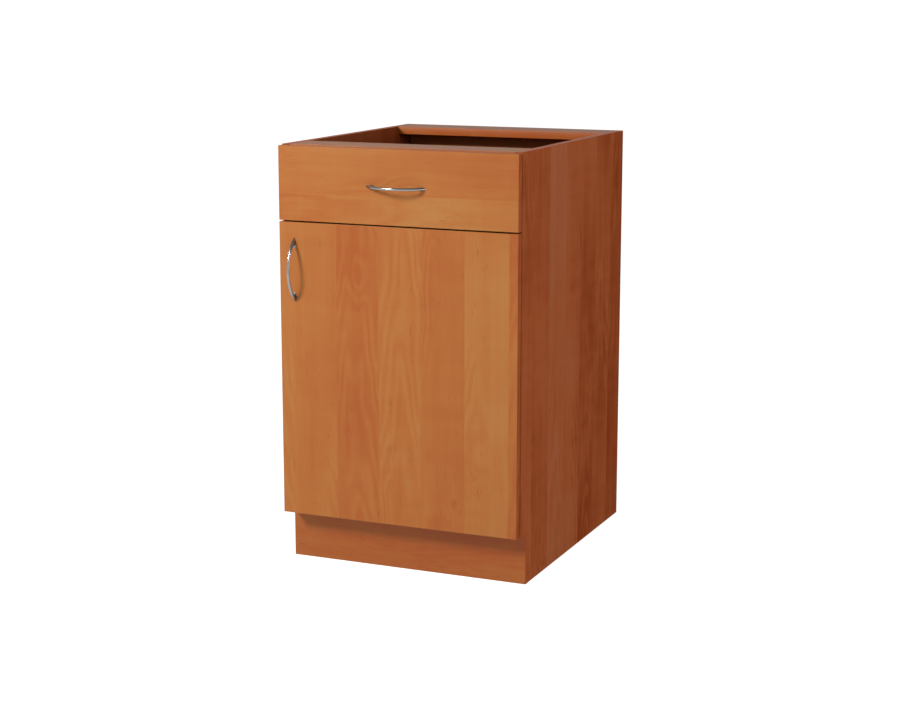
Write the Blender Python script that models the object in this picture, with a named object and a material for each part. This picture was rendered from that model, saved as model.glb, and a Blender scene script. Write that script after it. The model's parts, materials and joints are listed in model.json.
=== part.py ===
"""Hospital base cabinet: one drawer above one door, in laminated chipboard.

The carcass is open on top: two flat rails hold its sides apart and carry a worktop.
Units are metres. +X is the cabinet's right, -Y its front, +Z up. The origin is on the
floor, in the middle of the cabinet's footprint with its handles included.
"""

import math

import bmesh
import bpy
from mathutils import Vector

# ---------------------------------------------------------------- driving dimensions
BOARD = 0.016
THIN_BOARD = 0.003
FIT = 0.0003

CARCASS_WIDTH = 0.500
CARCASS_DEPTH = 0.582
CARCASS_HEIGHT = 0.834
PLINTH_HEIGHT = 0.100
PLINTH_RECESS = 0.028
RAIL_DEPTH = 0.085

FRONT_WIDTH = 0.498
FRONT_STANDOFF = 0.002
FRONT_TOP = 0.832
DRAWER_FRONT_HEIGHT = 0.144
FRONT_SPACING = 0.003
DOOR_HEIGHT = 0.583

HANDLE_LENGTH = 0.125
HANDLE_REACH = 0.029
HANDLE_SCREW_SPACING = 0.096
HANDLE_THICKNESS = 0.0042
HANDLE_WIDTH = 0.0055
HANDLE_FOOT = 0.0200
DOOR_HANDLE_INSET = 0.032
DOOR_HANDLE_DROP = 0.031

GROOVE_DEPTH = 0.007
GROOVE_INSET = 0.016

SHELF_HEIGHT = 0.400
SHELF_DEPTH = 0.470

DRAWER_BOX_LENGTH = 0.500
DRAWER_BOX_HEIGHT = 0.086
DRAWER_SIDE_CLEARANCE = 0.013
DRAWER_FLOOR = 0.700

RUNNER_SHEET = 0.0012
ROLLER_RADIUS = 0.009
ROLLER_WIDTH = 0.0075
AXLE_RADIUS = 0.0025

CUP_RADIUS = 0.0175
CUP_DEPTH = 0.0125
CUP_WALL = 0.0008
CUP_EDGE_DISTANCE = 0.003
PIVOT_INSET = 0.0062
PIVOT_DEPTH = 0.0096
HINGE_FROM_DOOR_END = 0.100

SHELF_PIN_RADIUS = 0.0025
SCREW_RADIUS = 0.0016
SCREW_HEAD_RADIUS = 0.0038

# ---------------------------------------------------------------- places worked out from them
HANDLE_ZONE = HANDLE_REACH + FIT
OVERALL_DEPTH = HANDLE_ZONE + BOARD + FRONT_STANDOFF + CARCASS_DEPTH
FRONT_FACE_Y = HANDLE_ZONE - OVERALL_DEPTH / 2
FRONT_BACK_Y = FRONT_FACE_Y + BOARD
CARCASS_FRONT_Y = FRONT_BACK_Y + FRONT_STANDOFF
CARCASS_BACK_Y = OVERALL_DEPTH / 2

SIDE_OUTER_X = CARCASS_WIDTH / 2
SIDE_INNER_X = SIDE_OUTER_X - BOARD
BACK_PANEL_Y = CARCASS_BACK_Y - GROOVE_INSET - THIN_BOARD
RAIL_UNDERSIDE = CARCASS_HEIGHT - BOARD
PLINTH_FACE_Y = CARCASS_FRONT_Y + PLINTH_RECESS

DRAWER_FRONT_BASE = FRONT_TOP - DRAWER_FRONT_HEIGHT
DOOR_TOP = DRAWER_FRONT_BASE - FRONT_SPACING
DOOR_BASE = DOOR_TOP - DOOR_HEIGHT
DOOR_EDGE_X = FRONT_WIDTH / 2

DRAWER_OUTER_X = SIDE_INNER_X - DRAWER_SIDE_CLEARANCE
DRAWER_SIDE_BASE = DRAWER_FLOOR + THIN_BOARD + FIT
DRAWER_BACK_Y = FRONT_BACK_Y + DRAWER_BOX_LENGTH

PIVOT_X = DOOR_EDGE_X - PIVOT_INSET
PIVOT_Y = FRONT_BACK_Y - PIVOT_DEPTH
HINGE_HEIGHTS = {"upper": DOOR_TOP - HINGE_FROM_DOOR_END, "lower": DOOR_BASE + HINGE_FROM_DOOR_END}

PIN_HEIGHT = SHELF_HEIGHT - SHELF_PIN_RADIUS - FIT

SMALL_ROUND = 12
FINE_ROUND = 28


# ---------------------------------------------------------------- helpers
def clear_scene():
    for existing in list(bpy.data.objects):
        bpy.data.objects.remove(existing, do_unlink=True)


def material(name, colour, roughness, metallic=0.0):
    made = bpy.data.materials.new(name)
    made.use_nodes = True
    shader = made.node_tree.nodes["Principled BSDF"]
    shader.inputs["Base Color"].default_value = (*colour, 1.0)
    shader.inputs["Roughness"].default_value = roughness
    shader.inputs["Metallic"].default_value = metallic
    return made


def pivot_empty(name, location):
    empty = bpy.data.objects.new(name, None)
    empty.location = location
    bpy.context.collection.objects.link(empty)
    return empty


def finish_mesh(name, bm, finish, origin, parent=None, smooth=False):
    """Puts a bmesh drawn in world coordinates into an object whose origin is at `origin`."""
    bmesh.ops.translate(bm, verts=bm.verts, vec=-Vector(origin))
    mesh = bpy.data.meshes.new(name)
    bm.to_mesh(mesh)
    bm.free()
    if smooth:
        mesh.shade_smooth()
        mesh.set_sharp_from_angle(angle=math.radians(35))
    piece = bpy.data.objects.new(name, mesh)
    bpy.context.collection.objects.link(piece)
    if finish:
        mesh.materials.append(finish)
    piece.location = Vector(origin)
    if parent:
        piece.parent = parent
        piece.location = Vector(origin) - parent.location
    return piece


def add_box(bm, low, high):
    """Adds a box between two corners."""
    low = Vector(low)
    high = Vector(high)
    made = bmesh.ops.create_cube(bm, size=1.0)["verts"]
    bmesh.ops.scale(bm, vec=high - low, verts=made)
    bmesh.ops.translate(bm, vec=(low + high) / 2, verts=made)
    return made


def add_rod(bm, start, end, radius, segments=SMALL_ROUND):
    """Adds a cylinder between two points."""
    start = Vector(start)
    end = Vector(end)
    run = end - start
    turn = run.to_track_quat("Z", "Y").to_matrix().to_4x4()
    made = bmesh.ops.create_cone(
        bm,
        cap_ends=True,
        segments=segments,
        radius1=radius,
        radius2=radius,
        depth=run.length,
    )["verts"]
    bmesh.ops.transform(bm, matrix=turn, verts=made)
    bmesh.ops.translate(bm, vec=(start + end) / 2, verts=made)
    return made


def add_prism(bm, outline, base, top):
    """Adds an upright prism on a plan outline of (x, y) points, anticlockwise from above."""
    lower = bm.faces.new([bm.verts.new((x, y, base)) for x, y in outline])
    lower.normal_update()
    if lower.normal.z > 0:
        lower.normal_flip()
    sides = bmesh.ops.extrude_face_region(bm, geom=[lower])
    raised = [item for item in sides["geom"] if isinstance(item, bmesh.types.BMVert)]
    bmesh.ops.translate(bm, vec=(0, 0, top - base), verts=raised)
    bmesh.ops.recalc_face_normals(bm, faces=bm.faces)


def board(name, low, high, finish, parent=None):
    """A flat panel whose origin is its centre."""
    bm = bmesh.new()
    add_box(bm, low, high)
    centre = (Vector(low) + Vector(high)) / 2
    return finish_mesh(name, bm, finish, centre, parent)


def hidden_tool(name, bm):
    """A cutter or a shape to join on: it is a guide and never part of the model."""
    tool = finish_mesh(name, bm, None, (0, 0, 0))
    tool.hide_render = True
    tool.display_type = "WIRE"
    return tool


def shape_with(piece, bm, operation):
    """Applies a Boolean of the bmesh, drawn in world coordinates, to a piece."""
    tool = hidden_tool(f"{piece.name}_{operation.lower()}", bm)
    change = piece.modifiers.new(operation.title(), "BOOLEAN")
    change.operation = operation
    change.solver = "EXACT"
    change.object = tool


def drill(piece, holes):
    """Cuts holes given as (start, end, radius) or (start, end, radius, segments)."""
    bm = bmesh.new()
    for hole in holes:
        add_rod(bm, *hole)
    shape_with(piece, bm, "DIFFERENCE")


# ---------------------------------------------------------------- finishes
def make_finishes():
    return {
        "laminate": material("laminate", (0.47, 0.17, 0.055), 0.42),
        "hardboard": material("hardboard", (0.20, 0.09, 0.04), 0.6),
        "chrome": material("chrome", (0.80, 0.80, 0.80), 0.12, 1.0),
        "zinc": material("zinc", (0.62, 0.63, 0.65), 0.32, 1.0),
        "runner": material("runner_coat", (0.80, 0.79, 0.75), 0.45),
        "nylon": material("nylon", (0.85, 0.85, 0.82), 0.5),
        "bumper": material("clear_bumper", (0.75, 0.75, 0.72), 0.3),
    }


# ---------------------------------------------------------------- bores
def side_panel_holes(side):
    """Blind bores in one side panel's inner face, for shelf pins and hinge plate screws."""
    outside = side * (SIDE_INNER_X - 0.001)
    holes = []
    for y in shelf_pin_rows():
        holes.append(((outside, y, PIN_HEIGHT), (side * (SIDE_INNER_X + 0.0093), y, PIN_HEIGHT),
                      SHELF_PIN_RADIUS + FIT))
    if side > 0:
        for level in HINGE_HEIGHTS.values():
            for y, z in plate_screw_points(level):
                holes.append(((outside, y, z), (SIDE_INNER_X + 0.0123, y, z), SCREW_RADIUS + FIT))
    return holes


# ---------------------------------------------------------------- carcass
def make_side_panel(name, side, finishes):
    """A full-height panel: groove for the back panel, toe notch for the plinth board."""
    inner = side * SIDE_INNER_X
    outer = side * SIDE_OUTER_X
    deep = side * (SIDE_INNER_X + GROOVE_DEPTH)
    groove_front = BACK_PANEL_Y - FIT
    groove_back = BACK_PANEL_Y + THIN_BOARD + FIT
    outline = [
        (inner, CARCASS_FRONT_Y),
        (outer, CARCASS_FRONT_Y),
        (outer, CARCASS_BACK_Y),
        (inner, CARCASS_BACK_Y),
        (inner, groove_back),
        (deep, groove_back),
        (deep, groove_front),
        (inner, groove_front),
    ]
    bm = bmesh.new()
    add_prism(bm, outline, 0.0, CARCASS_HEIGHT)
    centre_y = (CARCASS_FRONT_Y + CARCASS_BACK_Y) / 2
    panel = finish_mesh(name, bm, finishes["laminate"], ((inner + outer) / 2, centre_y, CARCASS_HEIGHT / 2))
    notch = bmesh.new()
    x_low, x_high = sorted((side * (SIDE_INNER_X - 0.002), side * (SIDE_OUTER_X + 0.002)))
    add_box(notch, (x_low, CARCASS_FRONT_Y - 0.002, -0.002),
            (x_high, PLINTH_FACE_Y + BOARD + FIT, PLINTH_HEIGHT))
    shape_with(panel, notch, "DIFFERENCE")
    drill(panel, side_panel_holes(side))


def make_plinth(finishes):
    board(
        "plinth_board",
        (-SIDE_OUTER_X, PLINTH_FACE_Y, 0.0),
        (SIDE_OUTER_X, PLINTH_FACE_Y + BOARD, PLINTH_HEIGHT - FIT),
        finishes["laminate"],
    )


def make_carcass_boards(finishes):
    half = SIDE_INNER_X - FIT
    board(
        "bottom_panel",
        (-half, CARCASS_FRONT_Y, PLINTH_HEIGHT),
        (half, BACK_PANEL_Y - FIT, PLINTH_HEIGHT + BOARD),
        finishes["laminate"],
    )
    board(
        "front_top_rail",
        (-half, CARCASS_FRONT_Y, RAIL_UNDERSIDE),
        (half, CARCASS_FRONT_Y + RAIL_DEPTH, CARCASS_HEIGHT),
        finishes["laminate"],
    )
    board(
        "back_top_rail",
        (-half, CARCASS_BACK_Y - RAIL_DEPTH, RAIL_UNDERSIDE),
        (half, CARCASS_BACK_Y, CARCASS_HEIGHT),
        finishes["laminate"],
    )
    reach = SIDE_INNER_X + GROOVE_DEPTH - 2 * FIT
    board(
        "back_panel",
        (-reach, BACK_PANEL_Y, PLINTH_HEIGHT),
        (reach, BACK_PANEL_Y + THIN_BOARD, RAIL_UNDERSIDE - FIT),
        finishes["hardboard"],
    )


def shelf_pin_rows():
    back = BACK_PANEL_Y - 0.060
    return (back - SHELF_DEPTH + 0.120, back)


def make_shelf(finishes):
    half = SIDE_INNER_X - 0.001
    back = BACK_PANEL_Y - 0.005
    board("shelf", (-half, back - SHELF_DEPTH, SHELF_HEIGHT), (half, back, SHELF_HEIGHT + BOARD),
          finishes["laminate"])
    for which, side in (("left", -1), ("right", 1)):
        for place, y in zip(("front", "back"), shelf_pin_rows()):
            pin = bmesh.new()
            add_rod(pin, (side * (SIDE_INNER_X + 0.009), y, PIN_HEIGHT),
                    (side * (SIDE_INNER_X - 0.008), y, PIN_HEIGHT), SHELF_PIN_RADIUS)
            finish_mesh(f"{which}_{place}_shelf_pin", pin, finishes["zinc"],
                        (side * SIDE_INNER_X, y, PIN_HEIGHT), smooth=True)


# ---------------------------------------------------------------- drawer runners
def runner_heights():
    """Heights of the roller runner: its two channel flanges, the drawer's flanges and both axles."""
    channel_floor = DRAWER_FLOOR - 0.0100
    drawer_ledge = DRAWER_FLOOR - RUNNER_SHEET - FIT
    drawer_lip = channel_floor + 0.0245
    cabinet_axle = drawer_lip - RUNNER_SHEET - FIT - ROLLER_RADIUS
    drawer_axle = channel_floor + RUNNER_SHEET + FIT + ROLLER_RADIUS
    return {
        "channel_floor": channel_floor,
        "channel_top": channel_floor + 0.0280,
        "ledge": drawer_ledge,
        "lip": drawer_lip,
        "cabinet_axle": cabinet_axle,
        "drawer_axle": drawer_axle,
    }


CABINET_ROLLER_Y = CARCASS_FRONT_Y + 0.016
DRAWER_ROLLER_Y = DRAWER_BACK_Y - 0.012
RUNNER_FRONT_Y = CARCASS_FRONT_Y + 0.003
RUNNER_BACK_Y = RUNNER_FRONT_Y + DRAWER_BOX_LENGTH


def add_side_box(bm, side, x_near, x_far, y_low, y_high, z_low, z_high):
    """Adds a box given by its distances from the middle plane, on the left or the right."""
    x_low, x_high = sorted((side * x_near, side * x_far))
    add_box(bm, (x_low, y_low, z_low), (x_high, y_high, z_high))


def roller_span():
    """Distances of a roller's two faces from the middle plane."""
    inner = DRAWER_OUTER_X + FIT + RUNNER_SHEET + 0.0010
    return inner, inner + ROLLER_WIDTH


def make_cabinet_runner(name, side, finishes):
    """A folded channel on the side panel, open towards the drawer, with an axle at its front."""
    at = runner_heights()
    web_out = SIDE_INNER_X - FIT
    web_in = web_out - RUNNER_SHEET
    floor_in = roller_span()[0] - 0.0004
    bm = bmesh.new()
    add_side_box(bm, side, web_in, web_out, RUNNER_FRONT_Y, RUNNER_BACK_Y, at["channel_floor"],
                 at["channel_top"])
    runner = finish_mesh(name, bm, finishes["runner"], (side * web_out, RUNNER_FRONT_Y, at["channel_floor"]))
    for low, high in (
        (at["channel_floor"], at["channel_floor"] + RUNNER_SHEET),
        (at["channel_top"] - RUNNER_SHEET, at["channel_top"]),
    ):
        flange = bmesh.new()
        add_side_box(flange, side, floor_in, web_out, RUNNER_FRONT_Y, RUNNER_BACK_Y, low, high)
        shape_with(runner, flange, "UNION")
    axle = bmesh.new()
    add_rod(axle, (side * (web_out - 0.0005), CABINET_ROLLER_Y, at["cabinet_axle"]),
            (side * (roller_span()[0] + 0.0003), CABINET_ROLLER_Y, at["cabinet_axle"]), AXLE_RADIUS)
    shape_with(runner, axle, "UNION")


def make_drawer_runner(name, side, finishes, drawer):
    """A Z-shaped strip under the drawer side, with an axle at its rear end."""
    at = runner_heights()
    web_in = DRAWER_OUTER_X + FIT
    web_out = web_in + RUNNER_SHEET
    front = FRONT_BACK_Y + 0.004
    back = DRAWER_BACK_Y
    bm = bmesh.new()
    add_side_box(bm, side, web_in, web_out, front, back, at["ledge"], at["lip"])
    origin = (side * web_out, front, at["ledge"])
    runner = finish_mesh(name, bm, finishes["runner"], origin, drawer)
    ledge = bmesh.new()
    add_side_box(ledge, side, DRAWER_OUTER_X - 0.0120, web_out, front, back, at["ledge"],
                 at["ledge"] + RUNNER_SHEET)
    shape_with(runner, ledge, "UNION")
    lip = bmesh.new()
    add_side_box(lip, side, web_in, roller_span()[1], front, back, at["lip"] - RUNNER_SHEET, at["lip"])
    shape_with(runner, lip, "UNION")
    axle = bmesh.new()
    add_rod(axle, (side * (web_in + 0.0004), DRAWER_ROLLER_Y, at["drawer_axle"]),
            (side * (roller_span()[1] - 0.0003), DRAWER_ROLLER_Y, at["drawer_axle"]), AXLE_RADIUS)
    shape_with(runner, axle, "UNION")


def make_roller(name, side, y, z, finishes, parent=None):
    """A nylon roller, bored for its axle."""
    inner, outer = roller_span()
    bm = bmesh.new()
    add_rod(bm, (side * inner, y, z), (side * outer, y, z), ROLLER_RADIUS, FINE_ROUND)
    roller = finish_mesh(name, bm, finishes["nylon"], (side * (inner + outer) / 2, y, z), parent, True)
    bore = bmesh.new()
    add_rod(bore, (side * (inner - 0.002), y, z), (side * (outer + 0.002), y, z), AXLE_RADIUS + FIT)
    shape_with(roller, bore, "DIFFERENCE")


def make_screw(name, head, direction, length, finishes, parent=None, head_height=0.0016):
    """A pan-head screw: its head stands off the point `head`, its shank runs along `direction`."""
    rings = (
        (-head_height, SCREW_HEAD_RADIUS * 0.7),
        (-head_height * 0.45, SCREW_HEAD_RADIUS),
        (0.0, SCREW_HEAD_RADIUS),
        (0.0, SCREW_RADIUS),
        (length, SCREW_RADIUS * 0.75),
    )
    bm = bmesh.new()
    add_turned(bm, head, direction, rings)
    finish_mesh(name, bm, finishes["zinc"], head, parent, True)


def add_turned(bm, base, direction, rings, segments=SMALL_ROUND):
    """A turned solid: rings of (distance along the axis, radius), bridged and capped."""
    turn = Vector(direction).to_track_quat("Z", "Y")
    loops = []
    for along, radius in rings:
        verts = []
        for step in range(segments):
            angle = math.tau * step / segments
            spoke = Vector((radius * math.cos(angle), radius * math.sin(angle), along))
            verts.append(bm.verts.new(Vector(base) + turn @ spoke))
        loops.append(verts)
    for lower, upper in zip(loops, loops[1:]):
        for step in range(segments):
            after = (step + 1) % segments
            bm.faces.new((lower[step], lower[after], upper[after], upper[step]))
    bm.faces.new(list(reversed(loops[0])))
    bm.faces.new(loops[-1])


# ---------------------------------------------------------------- bow handles
def add_bow_handle(bm, middle, along, outward, rings=26, segments=12):
    """A bow that swells into a flat foot at each end.

    The outer edge is an arc from foot to foot; the inner edge lies inside it by a thickness
    that grows near the ends, where it leans over to run along the face it stands on.
    """
    middle = Vector(middle)
    along = Vector(along)
    outward = Vector(outward)
    across = along.cross(outward)
    half = HANDLE_LENGTH / 2
    radius = (half * half + HANDLE_REACH * HANDLE_REACH) / (2 * HANDLE_REACH)
    sweep = math.asin(half / radius)
    loops = []
    for ring in range(rings + 1):
        share = 2 * ring / rings - 1
        angle = sweep * share
        end = abs(share)
        outer = Vector((radius * math.sin(angle), radius * math.cos(angle) - radius + HANDLE_REACH))
        thickness = HANDLE_THICKNESS + (HANDLE_FOOT - HANDLE_THICKNESS) * end**8
        lean = angle + math.copysign((math.pi / 2 - sweep) * end**5, angle)
        inner = outer - thickness * Vector((math.sin(lean), math.cos(lean)))
        centre = (outer + inner) / 2
        spoke = (outer - inner) / 2
        width = HANDLE_WIDTH / 2 * (1 + 0.3 * end**4)
        verts = []
        for step in range(segments):
            turn = math.tau * step / segments
            point = centre + spoke * math.cos(turn)
            place = middle + along * point.x + outward * point.y + across * (width * math.sin(turn))
            verts.append(bm.verts.new(place))
        loops.append(verts)
    for lower, upper in zip(loops, loops[1:]):
        for step in range(segments):
            after = (step + 1) % segments
            bm.faces.new((lower[step], lower[after], upper[after], upper[step]))
    bm.faces.new(list(reversed(loops[0])))
    bm.faces.new(loops[-1])
    bmesh.ops.recalc_face_normals(bm, faces=bm.faces)


def handle_screw_points(middle, along):
    """Where the two handle screws cross the front's outer face."""
    return [Vector(middle) + Vector(along) * (end * HANDLE_SCREW_SPACING / 2) for end in (-1, 1)]


def make_handle(name, middle, along, ends, finishes, parent):
    bm = bmesh.new()
    add_bow_handle(bm, Vector(middle) - Vector((0, FIT, 0)), along, (0, -1, 0))
    handle = finish_mesh(name, bm, finishes["chrome"], middle, parent, True)
    drill(handle, [
        (point + Vector((0, 0.001, 0)), point - Vector((0, 0.0065, 0)), SCREW_RADIUS + FIT)
        for point in handle_screw_points(middle, along)
    ])
    for end, point in zip(ends, handle_screw_points(middle, along)):
        make_screw(f"{end}_{name}_screw", point + Vector((0, BOARD + FIT, 0)), (0, -1, 0), BOARD + 0.006,
                   finishes, parent)


def handle_bores(middle, along):
    return [
        (point - Vector((0, 0.001, 0)), point + Vector((0, BOARD + 0.001, 0)), SCREW_RADIUS + FIT)
        for point in handle_screw_points(middle, along)
    ]


DRAWER_HANDLE_MIDDLE = (0.0, FRONT_FACE_Y, DRAWER_FRONT_BASE + DRAWER_FRONT_HEIGHT / 2)
DOOR_HANDLE_MIDDLE = (
    -DOOR_EDGE_X + DOOR_HANDLE_INSET,
    FRONT_FACE_Y,
    DOOR_TOP - DOOR_HANDLE_DROP - HANDLE_LENGTH / 2,
)


def make_bumper(name, x, z, finishes, parent):
    """A clear stick-on dome between a front and the carcass edge."""
    bm = bmesh.new()
    base = (x, FRONT_BACK_Y + FIT, z)
    add_turned(bm, base, (0, 1, 0), ((0.0, 0.0038), (0.0008, 0.0036), (0.0014, 0.0022)))
    finish_mesh(name, bm, finishes["bumper"], base, parent, True)


# ---------------------------------------------------------------- drawer
def make_drawer(finishes, drawer):
    front = board(
        "drawer_front",
        (-DOOR_EDGE_X, FRONT_FACE_Y, DRAWER_FRONT_BASE),
        (DOOR_EDGE_X, FRONT_BACK_Y, FRONT_TOP),
        finishes["laminate"],
        drawer,
    )
    drill(front, handle_bores(DRAWER_HANDLE_MIDDLE, (1, 0, 0)))
    side_front = FRONT_BACK_Y + FIT
    side_top = DRAWER_SIDE_BASE + DRAWER_BOX_HEIGHT
    for name, side in (("drawer_left_side", -1), ("drawer_right_side", 1)):
        x_low, x_high = sorted((side * (DRAWER_OUTER_X - BOARD), side * DRAWER_OUTER_X))
        board(name, (x_low, side_front, DRAWER_SIDE_BASE), (x_high, DRAWER_BACK_Y, side_top),
              finishes["laminate"], drawer)
    inner = DRAWER_OUTER_X - BOARD - FIT
    board("drawer_back", (-inner, DRAWER_BACK_Y - BOARD, DRAWER_SIDE_BASE), (inner, DRAWER_BACK_Y, side_top),
          finishes["laminate"], drawer)
    board("drawer_bottom", (-DRAWER_OUTER_X, side_front, DRAWER_FLOOR),
          (DRAWER_OUTER_X, DRAWER_BACK_Y, DRAWER_FLOOR + THIN_BOARD), finishes["hardboard"], drawer)

    make_handle("drawer_handle", DRAWER_HANDLE_MIDDLE, (1, 0, 0), ("left", "right"), finishes, drawer)
    for which, side in (("left", -1), ("right", 1)):
        make_bumper(f"drawer_{which}_bumper", side * (SIDE_INNER_X + BOARD / 2), DRAWER_FRONT_BASE + 0.020,
                    finishes, drawer)


# ---------------------------------------------------------------- door and its cup hinges
CUP_X = DOOR_EDGE_X - CUP_EDGE_DISTANCE - CUP_RADIUS
CUP_SCREW_X = CUP_X - 0.0095
CUP_SCREW_SPREAD = 0.0225
LUG_GAP = 0.0040
NECK_HALF_HEIGHT = 0.0034
NECK_SHEET = 0.0016
PIN_RADIUS = 0.00085
EYE_RADIUS = 0.0016
ARM_X = SIDE_INNER_X - 0.0056
ARM_BACK_Y = CARCASS_FRONT_Y + 0.058


def plate_screw_points(level):
    """Where the mounting plate's two screws enter the side panel."""
    return [(CARCASS_FRONT_Y + 0.037, level + rise) for rise in (-0.016, 0.016)]


def make_hinge_cup(name, level, finishes, door):
    """A thin turned cup let into the door, with a flange, two screw wings and two pin lugs."""
    depth_axis = (0, -1, 0)
    outer = bmesh.new()
    rings = (
        (-0.0008, CUP_RADIUS + 0.0007),
        (0.0, CUP_RADIUS + 0.0007),
        (0.0, CUP_RADIUS),
        (CUP_DEPTH, CUP_RADIUS),
    )
    shell_base = (CUP_X, FRONT_BACK_Y + FIT, level)
    add_turned(outer, shell_base, depth_axis, rings, FINE_ROUND)
    cup = finish_mesh(name, outer, finishes["zinc"], (CUP_X, FRONT_BACK_Y, level), door, True)
    wings = bmesh.new()
    add_box(wings, (CUP_SCREW_X - 0.0055, FRONT_BACK_Y + FIT, level - CUP_SCREW_SPREAD - 0.0055),
            (CUP_SCREW_X + 0.0055, FRONT_BACK_Y + FIT + 0.0008, level + CUP_SCREW_SPREAD + 0.0055))
    shape_with(cup, wings, "UNION")
    hollow = bmesh.new()
    add_rod(hollow, (CUP_X, FRONT_BACK_Y + 0.004, level),
            (CUP_X, FRONT_BACK_Y + FIT - CUP_DEPTH + CUP_WALL, level), CUP_RADIUS - CUP_WALL, FINE_ROUND)
    shape_with(cup, hollow, "DIFFERENCE")
    for low in (LUG_GAP, -LUG_GAP - 0.002):
        lug = bmesh.new()
        add_box(lug, (PIVOT_X - 0.0024, PIVOT_Y - 0.0014, level + low),
                (PIVOT_X + 0.0020, PIVOT_Y + 0.0022, level + low + 0.002))
        shape_with(cup, lug, "UNION")
    bores = [((PIVOT_X, PIVOT_Y, level - 0.0065), (PIVOT_X, PIVOT_Y, level + 0.0065), PIN_RADIUS + FIT)]
    for rise in (-CUP_SCREW_SPREAD, CUP_SCREW_SPREAD):
        bores.append(((CUP_SCREW_X, FRONT_BACK_Y + 0.003, level + rise),
                      (CUP_SCREW_X, FRONT_BACK_Y - 0.001, level + rise), SCREW_RADIUS + FIT))
    drill(cup, bores)


def neck_outline():
    """Plan outline of the crank that reaches from the arm round into the cup."""
    bend = 0.0030
    reach_x = PIVOT_X - 0.0265
    inside_y = CARCASS_FRONT_Y + 0.0065
    points = [(PIVOT_X, PIVOT_Y)]
    for centre, first, last in (
        ((reach_x + bend, PIVOT_Y + bend), -90, -180),
        ((reach_x + bend, inside_y - bend), 180, 90),
    ):
        for step in range(5):
            angle = math.radians(first + (last - first) * step / 4)
            points.append((centre[0] + bend * math.cos(angle), centre[1] + bend * math.sin(angle)))
    points.append((ARM_X, inside_y))
    left = []
    right = []
    for index, (x, y) in enumerate(points):
        before = points[max(index - 1, 0)]
        after = points[min(index + 1, len(points) - 1)]
        run = Vector((after[0] - before[0], after[1] - before[1])).normalized()
        left.append((x - run.y * NECK_SHEET / 2, y + run.x * NECK_SHEET / 2))
        right.append((x + run.y * NECK_SHEET / 2, y - run.x * NECK_SHEET / 2))
    return left + right[::-1]


def make_hinge_arm(name, level, finishes):
    """The fixed arm: a folded strip on the mounting plate, and a crank ending in an eye."""
    bm = bmesh.new()
    add_prism(bm, neck_outline(), level - NECK_HALF_HEIGHT, level + NECK_HALF_HEIGHT)
    arm = finish_mesh(name, bm, finishes["zinc"], (ARM_X, CARCASS_FRONT_Y, level))
    body = bmesh.new()
    add_box(body, (ARM_X - 0.0024, CARCASS_FRONT_Y + 0.0055, level - 0.0065),
            (ARM_X, ARM_BACK_Y, level + 0.0065))
    shape_with(arm, body, "UNION")
    eye = bmesh.new()
    add_rod(eye, (PIVOT_X, PIVOT_Y, level - NECK_HALF_HEIGHT), (PIVOT_X, PIVOT_Y, level + NECK_HALF_HEIGHT),
            EYE_RADIUS)
    shape_with(arm, eye, "UNION")
    drill(arm, [
        ((PIVOT_X, PIVOT_Y, level - 0.006), (PIVOT_X, PIVOT_Y, level + 0.006), PIN_RADIUS + FIT),
        ((ARM_X - 0.004, arm_screw_y(), level), (ARM_X + 0.001, arm_screw_y(), level),
         SCREW_RADIUS + FIT),
    ])


def arm_screw_y():
    return CARCASS_FRONT_Y + 0.048


def make_mounting_plate(name, level, finishes):
    """A cross-shaped plate on the side panel, with a raised block under the arm."""
    wall_x = SIDE_INNER_X - FIT
    screw_y = CARCASS_FRONT_Y + 0.037
    bm = bmesh.new()
    add_box(bm, (wall_x - 0.0020, screw_y - 0.0055, level - 0.0215),
            (wall_x, screw_y + 0.0055, level + 0.0215))
    plate = finish_mesh(name, bm, finishes["zinc"], (wall_x, screw_y, level))
    block = bmesh.new()
    add_box(block, (ARM_X + FIT, CARCASS_FRONT_Y + 0.014, level - 0.0065),
            (wall_x, ARM_BACK_Y, level + 0.0065))
    shape_with(plate, block, "UNION")
    bores = [((SIDE_INNER_X + 0.001, y, z), (wall_x - 0.004, y, z), SCREW_RADIUS + FIT)
             for y, z in plate_screw_points(level)]
    bores.append(((ARM_X - 0.001, arm_screw_y(), level), (ARM_X + 0.0042, arm_screw_y(), level),
                  SCREW_RADIUS + FIT))
    drill(plate, bores)


def make_door(finishes, door):
    panel = board(
        "door_panel",
        (-DOOR_EDGE_X, FRONT_FACE_Y, DOOR_BASE),
        (DOOR_EDGE_X, FRONT_BACK_Y, DOOR_TOP),
        finishes["laminate"],
        door,
    )
    bores = handle_bores(DOOR_HANDLE_MIDDLE, (0, 0, 1))
    for level in HINGE_HEIGHTS.values():
        bores.append(((CUP_X, FRONT_BACK_Y + 0.001, level), (CUP_X, FRONT_BACK_Y - CUP_DEPTH - FIT, level),
                      CUP_RADIUS + FIT, FINE_ROUND))
        for rise in (-CUP_SCREW_SPREAD, CUP_SCREW_SPREAD):
            bores.append(((CUP_SCREW_X, FRONT_BACK_Y + 0.001, level + rise),
                          (CUP_SCREW_X, FRONT_BACK_Y - 0.0118, level + rise), SCREW_RADIUS + FIT))
    drill(panel, bores)
    make_handle("door_handle", DOOR_HANDLE_MIDDLE, (0, 0, 1), ("lower", "upper"), finishes, door)
    for which, z in (("upper", DOOR_TOP - 0.020), ("lower", DOOR_BASE + 0.020)):
        make_bumper(f"door_{which}_bumper", -SIDE_INNER_X - BOARD / 2, z, finishes, door)


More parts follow.
